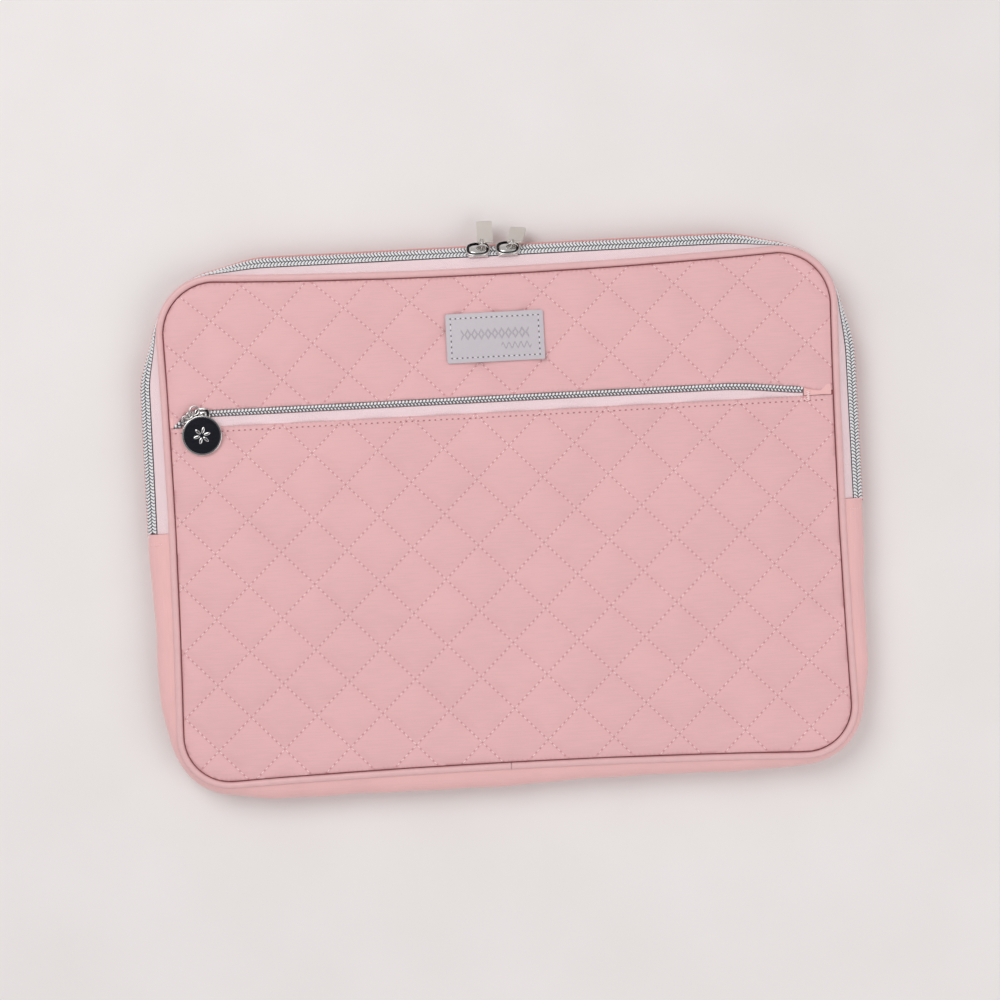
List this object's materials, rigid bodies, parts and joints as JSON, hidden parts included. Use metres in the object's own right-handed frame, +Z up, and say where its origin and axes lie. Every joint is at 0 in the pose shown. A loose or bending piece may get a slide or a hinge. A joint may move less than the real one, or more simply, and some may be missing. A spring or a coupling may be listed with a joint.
{
  "type": "laptop sleeve",
  "caption": "Slim quilted laptop sleeve with a wrap-round double zip, a zipped front pocket and a round charm pull.",
  "frame": {"origin": "middle of the flat back face, which the sleeve lies on", "axes": "+X along the sleeve's width, +Y from the closed bottom edge to the zipped top edge, +Z up, out of the pocket side"},
  "size_m": [0.3596, 0.285, 0.026],
  "materials": {
    "quilted_nylon": "fine ripstop nylon, quilted, soft sheen",
    "plain_nylon": "fine plain nylon",
    "piping": "smooth synthetic leather, satin",
    "zip_tape": "knitted zip tape, matt",
    "zip_coil": "silvery coil, satin",
    "foam": "open foam, matt",
    "lining": "thin polyester lining, satin",
    "binding": "woven seam binding, matt",
    "label_leather": "embossed grey synthetic leather, matt",
    "chrome": "polished plating",
    "black_metal": "polished black nickel with a bright rim",
    "frosted_plastic": "frosted translucent plastic"
  },
  "bodies": {
    "back_shell": {"back_panel": "quilted_nylon", "back_foam": "foam", "back_lining": "lining", "back_piping": "piping", "back_binding": "binding", "back_tape": "zip_tape", "back_coil": "zip_coil", "base_gusset": "plain_nylon", "base_piping": "piping", "base_binding": "binding", "base_lining": "lining", "base_foam": "foam", "base_pocket_lining": "lining", "pocket_panel_base": "quilted_nylon", "left_zip_end": "plain_nylon", "right_zip_end": "plain_nylon"},
    "front_flap": {"upper_panel": "quilted_nylon", "pocket_panel_flap": "quilted_nylon", "flap_lining": "lining", "flap_foam": "foam", "flap_pocket_lining": "lining", "flap_piping": "piping", "flap_binding": "binding", "front_tape": "zip_tape", "front_coil": "zip_coil", "pocket_coil_upper": "zip_coil", "pocket_coil_lower": "zip_coil", "pocket_tape_upper": "zip_tape", "pocket_tape_lower": "zip_tape", "pocket_end_left": "plain_nylon", "pocket_end_right": "plain_nylon", "label_patch": "label_leather"},
    "left_slider": {"left_slider_body": "chrome"},
    "right_slider": {"right_slider_body": "chrome"},
    "left_pull": {"left_pull_ring": "chrome", "left_pull_tab": "frosted_plastic"},
    "right_pull": {"right_pull_ring": "chrome", "right_pull_tab": "frosted_plastic"},
    "pocket_slider": {"pocket_slider_body": "chrome", "charm_loop": "chrome"},
    "pocket_charm": {"charm_link": "chrome", "charm_disc": "black_metal"}
  },
  "joints": [
    {"name": "flap_hinge", "type": "hinge", "parent": "back_shell", "child": "front_flap", "pos_m": [0, -0.001, 0.0145], "axis": [1, 0, 0], "range_deg": [0, 75]},
    {"name": "left_slider_travel", "type": "slide", "parent": "front_flap", "child": "left_slider", "axis": [-1, 0, 0], "range_m": [0, 0.1]},
    {"name": "right_slider_travel", "type": "slide", "parent": "front_flap", "child": "right_slider", "axis": [1, 0, 0], "range_m": [0, 0.1]},
    {"name": "left_pull_swing", "type": "hinge", "parent": "left_slider", "child": "left_pull", "pos_m": [-0.0054, 0.13695, 0.01837], "axis": [1, 0, 0], "range_deg": [-20, 150]},
    {"name": "right_pull_swing", "type": "hinge", "parent": "right_slider", "child": "right_pull", "pos_m": [0.0096, 0.13695, 0.01837], "axis": [1, 0, 0], "range_deg": [-5, 160]},
    {"name": "pocket_slider_travel", "type": "slide", "parent": "front_flap", "child": "pocket_slider", "axis": [1, 0, 0], "range_m": [0, 0.297]},
    {"name": "charm_swing", "type": "hinge", "parent": "pocket_slider", "child": "pocket_charm", "pos_m": [-0.15493, 0.05969, 0.02403], "axis": [-1, 0, 0], "range_deg": [0, 90]}
  ]
}
